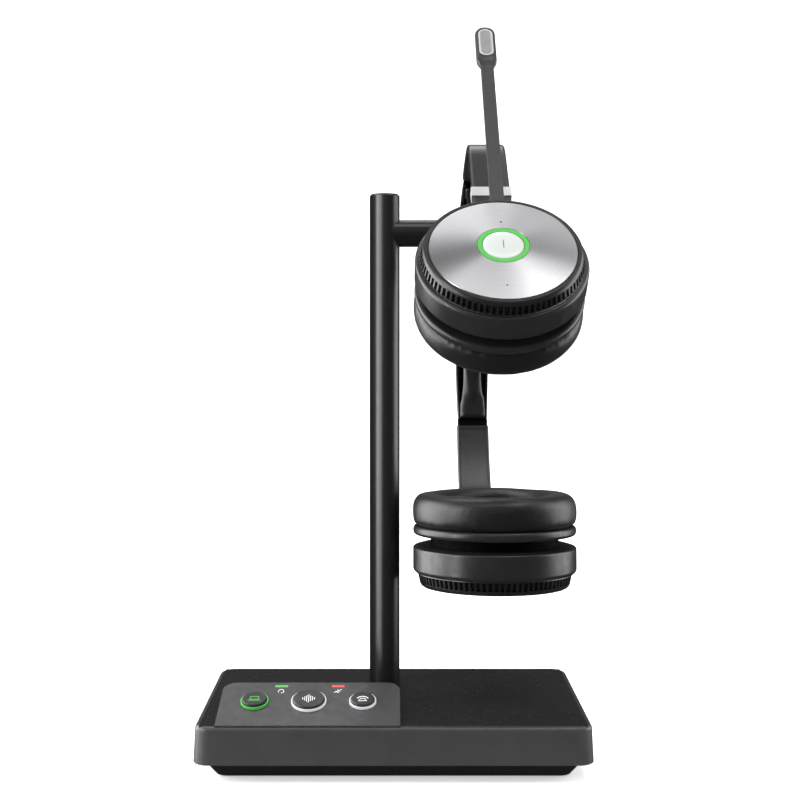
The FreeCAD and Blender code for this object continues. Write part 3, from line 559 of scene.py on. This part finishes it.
def spun_disc(name, place, inner):
    """The domed metal face, with a turned chamfer at its rim and at its centre hole."""
    under = heights(f"{name}_disc", place)[0]
    rings, edge_chamfer, hole_chamfer = 22, 0.4, 0.25
    top = []
    for i in range(rings + 1):
        radius = inner + hole_chamfer + (DISC_EDGE - edge_chamfer - inner) * i / rings
        top.append((radius, dome_height(radius)))
    outline = [(inner, under), (inner, top[0][1] - 0.2)] + top
    outline += [(DISC_EDGE, dome_height(DISC_EDGE) - 0.15), (DISC_EDGE, under)]
    disc = lathe(f"{name}_spun_disc", outline, place, f"{name}_cup",
                 M[f"{name}_spun"], 256, sharp=30)
    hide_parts(f"{name}_disc")


def stud(name, place, at, radius, rise, material, segments=32):
    """A small round mark standing on the disc."""
    spot = place @ Matrix.Translation((*at, dome_height(math.hypot(*at))))
    outline = [(AXIS, -0.2), (radius, -0.2), (radius, rise * 0.5), (radius * 0.8, rise),
               (AXIS, rise)]
    lathe(name, outline, spot, "upper_cup", material, segments)


def disc_marks(place):
    """A status dot, a dark stud as painted shade for the microphone hole, a small arc of dots, and the line on the
    call button.
    """
    ribbed = M["ribbed_plastic"]
    stud("status_dot", place, (0, 13.4), 0.42, 0.05, ribbed)
    # The microphone hole is a dark stud: painted shade where the hole is.
    stud("noise_mic_hole_shade", place, (0, -20.6), 0.34, 0.04, ribbed)
    arc_radius, arc_middle = 1.9, 19.3
    for i, angle in enumerate((-62, -31, 0, 31, 62)):
        turn = math.radians(angle)
        at = (arc_radius * math.sin(turn), arc_middle + arc_radius * math.cos(turn))
        stud(f"arc_dot_{i}", place, at, 0.2, 0.04, M["mesh_metal"], 16)
    half_width, half_length = 0.16, 2.1
    crest = heights("call_button", place)[1]
    line = [(-half_width, -half_length), (half_width, -half_length),
            (half_width, half_length), (-half_width, half_length)]
    verts = [(x, y, z) for z in (crest - 0.3, crest + 0.02) for x, y in line]
    faces = [(3, 2, 1, 0), (4, 5, 6, 7)]
    faces += [(k, (k + 1) % 4, 4 + (k + 1) % 4, 4 + k) for k in range(4)]
    mesh_object("call_button_mark", verts, faces, place, "call_key",
                M["mark_grey"])


def call_button(place):
    """The white cap, rounded at its edge and a little crowned."""
    foot, crest = heights("call_button", place)
    edge = BUTTON_RADIUS
    outline = [(AXIS, foot), (edge, foot), (edge, crest - 0.75), (edge - 0.25, crest - 0.4),
               (edge - 0.75, crest - 0.22), (5.0, crest - 0.08), (2.5, crest - 0.02),
               (AXIS, crest)]
    button = lathe("call_button_cap", outline, place, "call_key",
                   M["call_white"], 128, sharp=50)
    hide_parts("call_button")


# ---------------------------------------------------------------- soft pieces

def apply_modifiers(obj):
    """Turn a piece's modifiers into plain mesh."""
    graph = bpy.context.evaluated_depsgraph_get()
    mesh = bpy.data.meshes.new_from_object(obj.evaluated_get(graph))
    obj.modifiers.clear()
    obj.data = mesh


def puffed(obj, voxel, cap, pressure):
    """Remesh a soft piece and let cloth under pressure swell it by at most cap millimetres.

    The cloth is simulated at a larger size, where the solver's thresholds don't matter."""
    grow, frames, stiffness = 20.0, 20, 30
    obj.data.transform(Matrix.Scale(grow, 4))
    remesh = obj.modifiers.new("remesh", "REMESH")
    remesh.mode = "VOXEL"
    remesh.voxel_size = voxel * MM * grow
    apply_modifiers(obj)
    start = [v.co.copy() for v in obj.data.vertices]
    cloth = obj.modifiers.new("cloth", "CLOTH")
    cloth.settings.use_pressure = True
    cloth.settings.uniform_pressure_force = pressure
    cloth.settings.tension_stiffness = stiffness
    cloth.settings.compression_stiffness = stiffness
    cloth.settings.bending_stiffness = stiffness / 5
    cloth.settings.effector_weights.gravity = 0
    cloth.point_cache.frame_start = 1
    cloth.point_cache.frame_end = frames
    scene = bpy.context.scene
    for step in range(1, frames + 1):
        scene.frame_set(step)
    apply_modifiers(obj)
    scene.frame_set(1)
    limit = cap * MM * grow
    for vertex, origin in zip(obj.data.vertices, start):
        move = vertex.co - origin
        if move.length > limit:
            vertex.co = origin + move.normalized() * limit
    obj.data.transform(Matrix.Scale(1 / grow, 4))
    smooth = obj.modifiers.new("smooth", "SMOOTH")
    smooth.factor = 0.5
    smooth.iterations = 4
    subdivide = obj.modifiers.new("subdivide", "SUBSURF")
    subdivide.levels = 1
    apply_modifiers(obj)
    for face in obj.data.polygons:
        face.use_smooth = True


def local_move(obj, place, shape):
    """Move every vertex of a mesh through a function of its local millimetres."""
    back = place.inverted()
    for vertex in obj.data.vertices:
        vertex.co = place @ Vector(shape(back @ vertex.co))


def ear_cushion(name, place):
    """A stuffed leatherette ring: full on top, pinched at the seam beside the flange."""
    deep, low = heights(f"{name}_cushion", place)
    bore = 17.8
    widest = CUP_RADIUS + 0.2
    outline = soften([(bore, low), (widest - 0.6, low), (widest - 0.1, low - 1.4),
                      (widest, deep + 4.0), (widest - 2.0, deep + 0.4),
                      (bore + 3.6, deep + 0.6), (bore + 0.2, deep + 2.8)], 2.4, 6)
    cushion = lathe(f"{name}_ear_cushion", outline, place, f"{name}_cup",
                    M["leatherette"], 144)
    puffed(cushion, 1.2, 0.8, 4.0)
    seed = 3.0 if name == "upper" else 11.0
    seam_level = low - 0.35
    seam_width, seam_pinch, pinched_beyond = 0.6, 0.008, 24
    puckers_round, pucker_depth, pucker_reach = 9, 0.16, 1.6
    inner_edge, inner_reach = 21, 5
    swell_depth, swell_rate = 0.22, 0.07
    crown = low - 3

    def sewn(point):
        radius = math.hypot(point.x, point.y)
        turn = math.atan2(point.y, point.x)
        seam = math.exp(-((point.z - seam_level) / seam_width) ** 2)
        inward = 1 - seam_pinch * seam * (radius > pinched_beyond)
        pucker = noise.noise(Vector((math.cos(turn) * puckers_round,
                                     math.sin(turn) * puckers_round, seed)))
        near_seam = math.exp(-((point.z - seam_level + pucker_reach / 2) / pucker_reach) ** 2)
        inner = max(0.0, (inner_edge - radius) / inner_reach)
        swell = pucker_depth * pucker * (near_seam + inner)
        where = Vector((point.x, point.y, point.z + seed))
        soft = swell_depth * noise.noise(where * swell_rate)
        scale = (radius * inward + swell) / radius if radius else 1
        return (point.x * scale, point.y * scale, point.z - soft * (point.z < crown))

    local_move(cushion, place, sewn)
    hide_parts(f"{name}_cushion")


# ---------------------------------------------------------------- headband

BAND_FRAME = placed(Vector((middle("headband_shell").x, *BAND_CENTRE)),
                    Vector((0, math.cos(BAND_TILT), math.sin(BAND_TILT))),
                    Vector((0, -math.sin(BAND_TILT), math.cos(BAND_TILT))), X)


def band_point(angle, radius, across):
    """A point of the headband, its angle counted from the middle of the band."""
    return (radius * math.cos(angle), radius * math.sin(angle), across)


def band_half_width(share):
    """Half the band's width at a share of its half length: it narrows towards both ends."""
    widest, narrowing, starts = 8.2, 1.0, 0.45
    past = max(0.0, (abs(share) - starts) / (1 - starts))
    return widest - narrowing * past ** 1.6


def headband_shell():
    """The band's U-shaped outer shell with rounded rims."""
    inside = BAND_RADIUS - 2.1
    outside = BAND_RADIUS + 2.2
    back = outside - 1.3
    rounded = outside - 0.8
    steps, rim = 96, 1.4
    sections = []
    for i in range(steps + 1):
        share = i / steps * 2 - 1
        half = band_half_width(share)
        wall = half - rim
        profile = soften([(inside, wall), (back, wall - 0.2), (back, 0.2 - wall),
                          (inside, -wall), (inside, 0.1 - half), (rounded, -half),
                          (outside, 1.0 - half), (outside, half - 1.0), (rounded, half),
                          (inside, half - 0.1)], 0.45, 3)
        sections.append([band_point(share * BAND_HALF, r, w) for r, w in profile])
    verts, faces = sweep_data(sections)
    shell = mesh_object("headband_outer_shell", verts, faces, BAND_FRAME, "headband",
                        M["band_gloss"])
    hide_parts("headband_shell")


def band_gap_shades():
    """Near-black blocks, painted shade, that fill the gaps between the shell's ends and the bent arms."""
    half_width, half_depth, steps = 7.3, 1.3, 8
    inside = BAND_RADIUS - half_depth
    outside = BAND_RADIUS + half_depth
    profile = soften([(inside, -half_width), (outside, -half_width), (outside, half_width),
                      (inside, half_width)], 0.8)
    for name, sign in (("lower", -1), ("upper", 1)):
        angles = [sign * (BAND_HALF + BAND_GAP * i / steps) for i in range(steps + 1)]
        verts, faces = sweep_data([[band_point(a, r, w) for r, w in profile] for a in angles])
        mesh_object(f"{name}_band_joint", verts, faces, BAND_FRAME, "headband",
                    M["gap_painted_shade"])


def signed_power(value, power):
    """Squares off a circle's sine or cosine."""
    return math.copysign(abs(value) ** power, value)


def headband_pad():
    """The padded lining: narrow along the crown and flared at both ends."""
    steps, around = 120, 28
    level = BAND_RADIUS - 4.1
    crown_half, flare_width, flare_at, flare_rate = 5.1, 1.5, 0.82, 26
    half_depth, least_depth, closes_at = 1.75, 0.35, 0.985
    sections = []
    for i in range(steps + 1):
        share = i / steps * 2 - 1
        flare = 1 / (1 + math.exp(-(abs(share) - flare_at) * flare_rate))
        half = crown_half + flare_width * flare
        ending = max(0.0, (abs(share) - closes_at) / (1 - closes_at))
        close = math.sqrt(max(0.0, 1 - ending ** 2))
        depth = half_depth * (least_depth + (1 - least_depth) * close)
        section = []
        for k in range(around):
            turn = 2 * math.pi * k / around
            across = signed_power(math.cos(turn), 0.55) * half
            deep = signed_power(math.sin(turn), 0.7) * depth
            section.append(band_point(share * BAND_HALF, level - deep, across))
        sections.append(section)
    verts, faces = sweep_data(sections)
    pad = mesh_object("headband_lining", verts, faces, BAND_FRAME, "headband",
                      M["leatherette"], 60)
    puffed(pad, 1.2, 0.5, 3.0)
    swell_depth, swell_rate = 0.12, 0.11

    def crown(point):
        soft = swell_depth * noise.noise(Vector(point) * swell_rate)
        reach = math.hypot(point.x, point.y)
        scale = (reach + soft) / reach
        return (point.x * scale, point.y * scale, point.z)

    local_move(pad, BAND_FRAME, crown)
    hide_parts("headband_pad")


# ---------------------------------------------------------------- microphone

def boom_frame():
    """Local Z runs along the boom and local Y is the side away from the listener's face."""
    root, tip = middle("mic_boom"), middle("mic_head")
    run = (tip - root).normalized()
    face = run.cross(X)
    low = min(v.co.dot(run) for v in frame["nodes"]["mic_boom"].data.vertices)
    origin = root + run * (low - root.dot(run))
    return placed(origin, X, face, run)


def microphone(place):
    """The head swells out of the strip, with the grille in its outer face."""
    tip_inset, grille_inset = 0.6, 11.4
    length = heights("mic_head", place)[1] - tip_inset - HEAD_START
    around, steps, shoulder = 48, 56, 6.0
    strip_width, strip_depth = 2.7, 1.05
    squareness, least = 0.62, 0.03
    sections = []
    for i in range(steps + 1):
        z = length * i / steps
        t = min(1.0, z / shoulder)
        grow = t * t * (3 - 2 * t)
        short = max(0.0, 1 - (length - z) / HEAD_HALF_WIDTH)
        cap = math.sqrt(max(0.0, 1 - short ** 2))
        wide = (strip_width + (HEAD_HALF_WIDTH - strip_width) * grow) * max(cap, least)
        thick = strip_depth + (HEAD_HALF_DEPTH - strip_depth) * grow
        thick *= max(cap ** 0.5, least)
        section = []
        for k in range(around):
            turn = 2 * math.pi * k / around
            section.append((signed_power(math.cos(turn), squareness) * wide,
                            signed_power(math.sin(turn), squareness) * thick,
                            HEAD_START + z))
        sections.append(section)
    verts, faces = sweep_data(sections)
    head = mesh_object("mic_head_shell", verts, faces, place, "boom",
                       M["boom_plastic"])
    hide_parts("mic_head")
    grille_middle = HEAD_START + length - grille_inset
    grille_rim(place, grille_middle)
    grille_mesh(place, grille_middle)


def grille_rim(place, grille_middle):
    """A light rim that holds the mesh."""
    half_width, half_length, wall, sunk, proud = 3.0, 8.4, 0.55, 0.3, 0.1
    outer = capsule_outline(half_width, half_length)
    inner = capsule_outline(half_width - wall, half_length - wall)
    loops = [(outer, -sunk), (outer, proud), (inner, proud), (inner, -sunk)]
    verts, faces = [], []
    for outline, rise in loops:
        verts += [(x, -HEAD_HALF_DEPTH - rise, grille_middle + z) for x, z in outline]
    count = len(outer)
    for a in range(4):
        b = (a + 1) % 4
        for k in range(count):
            n = (k + 1) % count
            faces.append((a * count + k, a * count + n, b * count + n, b * count + k))
    mesh_object("mic_grille_rim", verts, faces, place, "boom", M["white_plastic"])


def capsule_outline(half_width, half_length, steps=12):
    """A long outline with half-round ends, as (x, z) points."""
    straight = half_length - half_width
    points = []
    for end in (1, -1):
        for k in range(steps + 1):
            turn = math.pi * k / steps
            points.append((half_width * math.cos(turn) * end,
                           end * (straight + half_width * math.sin(turn))))
    return points


def grille_mesh(place, grille_middle):
    """Crossed wires, the lengthwise ones on top, trimmed to the rim."""
    half_width, half_length, pitch, half_wire, thick = 2.5, 7.9, 0.46, 0.15, 0.16
    along_level = HEAD_HALF_DEPTH - 0.12
    across_level = HEAD_HALF_DEPTH - 0.2
    straight = half_length - half_width
    sides = ((0, 1, 3, 2), (4, 6, 7, 5), (0, 4, 5, 1), (2, 3, 7, 6), (0, 2, 6, 4), (1, 5, 7, 3))
    verts, faces = [], []

    def bar(a, b, level):
        run = (Vector(b) - Vector(a)).normalized()
        side = Vector((run.y, -run.x)) * half_wire
        base = len(verts)
        for end in (a, b):
            for shift in (-1, 1):
                for lift in (0.0, thick):
                    verts.append((end[0] + side.x * shift, -level - lift,
                                  grille_middle + end[1] + side.y * shift))
        faces.extend(tuple(base + i for i in quad) for quad in sides)

    count = int(half_width / pitch)
    for i in range(-count, count + 1):
        x = i * pitch
        reach = straight + math.sqrt(half_width ** 2 - x ** 2)
        bar((x, -reach), (x, reach), along_level)
    count = int(half_length / pitch)
    for i in range(-count, count + 1):
        z = i * pitch
        past = max(0.0, abs(z) - straight)
        reach = math.sqrt(max(0.01, half_width ** 2 - past ** 2))
        bar((-reach, z), (reach, z), across_level)
    grille = mesh_object("mic_grille_mesh", verts, faces, place, "boom",
                         M["mesh_metal"])
    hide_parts("mic_grille")


# ---------------------------------------------------------------- marks on the keys and panel

def strokes(name, lines, width, place, body, material, rise=0.08):
    """Thin raised strokes, each a list of points in millimetres."""
    sunk = 0.05
    verts, faces = [], []
    for line in lines:
        points = [Vector(p) for p in line]
        base = len(verts)
        for i, here in enumerate(points):
            before = points[max(i - 1, 0)]
            after = points[min(i + 1, len(points) - 1)]
            run = (after - before).normalized()
            side = Vector((-run.y, run.x)) * width / 2
            if i in (0, len(points) - 1):
                here = here + run * width / 2 * (-1 if i == 0 else 1)
            for shift in (-1, 1):
                for lift in (-sunk, rise):
                    spot = here + side * shift
                    verts.append((spot.x, spot.y, lift))
        for i in range(len(points) - 1):
            a, b = base + 4 * i, base + 4 * (i + 1)
            faces += [(a, b, b + 1, a + 1), (a + 2, a + 3, b + 3, b + 2),
                      (a, a + 2, b + 2, b), (a + 1, b + 1, b + 3, a + 3)]
        last = base + 4 * (len(points) - 1)
        faces += [(base, base + 1, base + 3, base + 2), (last, last + 2, last + 3, last + 1)]
    return mesh_object(name, verts, faces, place, body, material)


def arc(centre, radius, start, end, steps=12, squash=1.0):
    """Points of an arc between two angles in degrees."""
    turns = [math.radians(start + (end - start) * k / steps) for k in range(steps + 1)]
    return [(centre[0] + radius * math.cos(turn), centre[1] + squash * radius * math.sin(turn))
            for turn in turns]


def key_marks():
    """Generic pictograms: a laptop, sound bars and a desk telephone."""
    half, foot, top = 1.55, -0.55, 1.25
    laptop = [[(-half, foot), (-half, top), (half, top), (half, foot)],
              [(-half, foot), (half, foot)], [(-2.15, -1.15), (2.15, -1.15)]]
    strokes("computer_mark", laptop, 0.36, key_frame("pc_button"), "pc_key", M["green_light"])
    pitch = 0.72
    half_heights = (0.5, 1.15, 1.8, 2.4, 1.6, 1.1, 0.5)
    bars = [[((i - 3) * pitch, -tall), ((i - 3) * pitch, tall)]
            for i, tall in enumerate(half_heights)]
    strokes("sound_mark", bars, 0.3, key_frame("center_button"), "center_key",
            M["mark_white"])
    handset = arc((0, -0.5), 2.15, 30, 150, 14, 0.85)
    body = [(-0.7, 0.0), (-1.55, -1.45), (1.55, -1.45), (0.7, 0.0), (-0.7, 0.0)]
    phone = [handset, [(-1.85, 0.45), (-1.85, 0.2)], [(1.85, 0.45), (1.85, 0.2)], body]
    strokes("telephone_mark", phone, 0.46, key_frame("phone_button"), "phone_key",
            M["mark_white"])


def status_marks():
    """A headset and a crossed-out microphone, each below its light."""
    headset = [arc((0, 0), 1.0, -20, 200, 14), [(-0.95, -0.2), (-0.95, -0.75)],
               [(0.95, -0.2), (0.95, -0.75)], [(0.95, -0.9), (0.15, -1.25)]]
    muted = [[(0, 0.75), (0, -0.1)], arc((0, 0), 0.8, 200, 340, 10), [(0, -0.8), (0, -1.2)],
             [(-1.3, -0.95), (1.3, 0.95)]]
    for node, name, lines in (("headset_led", "headset_mark", headset),
                              ("mute_led", "mute_mark", muted)):
        strokes(name, lines, 0.3, key_frame(node, 3.0, 0.15), "stand", M["mark_white"], 0.05)


# ---------------------------------------------------------------- studio

def link_light(lamp, names, state):
    """Keep a light on the named pieces alone (INCLUDE) or off them (EXCLUDE)."""
    group = bpy.data.collections.new(f"receivers_of_{lamp.name}")
    for name in names:
        group.objects.link(bpy.data.objects.get(name) or frame["nodes"][name])
    lamp.light_linking.receiver_collection = group
    for entry in group.collection_objects:
        entry.light_linking.link_state = state


def view():
    """A level camera with a shifted lens."""
    camera = bpy.data.objects.new("camera", bpy.data.cameras.new("camera"))
    bpy.context.scene.collection.objects.link(camera)
    camera.data.sensor_width = 36
    camera.data.lens = 54
    camera.data.shift_x = 0.01325
    camera.data.shift_y = -0.09125
    camera.location = (-0.0015, -0.4675, 0.1637)
    camera.rotation_euler = (math.radians(90), 0, 0)
    bpy.context.scene.camera = camera


def backdrop():
    """A white floor that curves up into a wall behind the object."""
    white = Shader("studio_white", (0.95, 0.95, 0.95), 0.9)
    white.vary(200.0, 0.004, 0.02)
    white.set("Emission Color", (1, 1, 1, 1))
    white.set("Emission Strength", 0.4)
    front, reach, radius, half_width, height, steps = -3.0, 1.3, 0.7, 4.0, 3.5, 24
    line = [(front, 0.0), (reach, 0.0)]
    for k in range(1, steps + 1):
        turn = math.pi / 2 * k / steps
        line.append((reach + radius * math.sin(turn), radius - radius * math.cos(turn)))
    line.append((reach + radius, height))
    verts, faces = [], []
    for y, z in line:
        verts += [(-half_width, y, z), (half_width, y, z)]
    for i in range(len(line) - 1):
        faces.append((2 * i, 2 * i + 1, 2 * i + 3, 2 * i + 2))
    mesh = bpy.data.meshes.new("studio_sweep")
    mesh.from_pydata(verts, [], faces)
    for face in mesh.polygons:
        face.use_smooth = True
    floor = bpy.data.objects.new("studio_sweep", mesh)
    bpy.context.scene.collection.objects.link(floor)
    floor.visible_glossy = False
    mesh.materials.append(white.material)


def surroundings():
    """White light all round: full behind the object, soft on it, and dim in its reflections."""
    diffuse, reflected, behind = 0.42, 0.05, 1.0
    world = bpy.data.worlds.new("studio")
    bpy.context.scene.world = world
    world.use_nodes = True
    tree = world.node_tree
    background = tree.nodes["Background"]
    background.inputs["Color"].default_value = (1, 1, 1, 1)
    ray = tree.nodes.new("ShaderNodeLightPath")
    level = tree.nodes.new("ShaderNodeMapRange")
    level.inputs["To Min"].default_value = diffuse
    level.inputs["To Max"].default_value = reflected
    tree.links.new(ray.outputs["Is Glossy Ray"], level.inputs["Value"])
    seen = tree.nodes.new("ShaderNodeMapRange")
    seen.inputs["To Max"].default_value = behind
    tree.links.new(ray.outputs["Is Camera Ray"], seen.inputs["Value"])
    tree.links.new(level.outputs["Result"], seen.inputs["To Min"])
    tree.links.new(seen.outputs["Result"], background.inputs["Strength"])


def softbox(name, place, aim, size, energy):
    """A rectangular light, its place, target and size in metres."""
    lamp = bpy.data.lights.new(name, "AREA")
    lamp.shape = "RECTANGLE"
    lamp.size, lamp.size_y = size
    lamp.energy = energy
    holder = bpy.data.objects.new(name, lamp)
    holder.location = place
    toward = Vector(aim) - Vector(place)
    holder.rotation_euler = toward.to_track_quat("-Z", "Y").to_euler()
    bpy.context.scene.collection.objects.link(holder)
    return holder


def lighting():
    """Soft light from above and both sides, with a strip for the edges and a wash for the pole."""
    heart = (0.03, 0, 0.15)
    softbox("back_softbox", (-0.14, 0.62, 1.0), heart, (0.7, 0.3), 2.8)
    softbox("front_softbox", (0.45, -0.28, 1.2), heart, (0.5, 0.3), 2.2)
    softbox("overhead_strip", (0.05, -0.45, 1.25), (0.03, 0, 0.2), (1.2, 0.35), 5.0)
    softbox("left_strip", (-0.85, -0.5, 0.3), heart, (0.16, 1.0), 7.5)
    left = softbox("left_side", (-0.85, 0.2, 0.25), heart, (0.9, 0.9), 17.0)
    right = softbox("right_side", (0.9, 0.15, 0.3), heart, (0.7, 0.9), 8.0)
    softbox("front_fill", (0.1, -1.5, 0.9), (0, 0, 0.12), (1.4, 0.8), 1.2)
    softbox("backdrop_wash", (0.0, 0.5, 1.6), (0, 1.9, 0.4), (2.4, 0.8), 16)
    wash = softbox("pole_wash", (-0.72, -0.85, 0.25), (0, 0, 0.15), (0.6, 1.2), 15.0)
    polished = ["base_top_plate", "upper_spun_disc", "lower_spun_disc"]
    pole = ["stand_pole", "pole_top_cap"]
    link_light(right, polished, "EXCLUDE")
    link_light(left, polished + pole + ["support_arm", "arm_end_cap"], "EXCLUDE")
    link_light(wash, pole, "INCLUDE")


# ---------------------------------------------------------------- assembly

def build():
    """Every piece, then the studio round them."""
    bpy.context.scene.view_settings.view_transform = "Standard"
    dress_cad_nodes()
    for name, place in CUPS.items():
        cup_shell(name, place)
        ear_cushion(name, place)
    ribbed_ring("boom_ribbed_ring", "boom_ring", CUPS["upper"], "boom")
    ribbed_ring("lower_ribbed_ring", "lower_cap_ring", CUPS["lower"], "lower_cup")
    spun_disc("upper", CUPS["upper"], DISC_HOLE)
    spun_disc("lower", CUPS["lower"], NO_HOLE)
    disc_marks(CUPS["upper"])
    call_button(CUPS["upper"])
    headband_shell()
    band_gap_shades()
    headband_pad()
    microphone(boom_frame())
    key_marks()
    status_marks()
    view()
    backdrop()
    surroundings()
    lighting()


build()
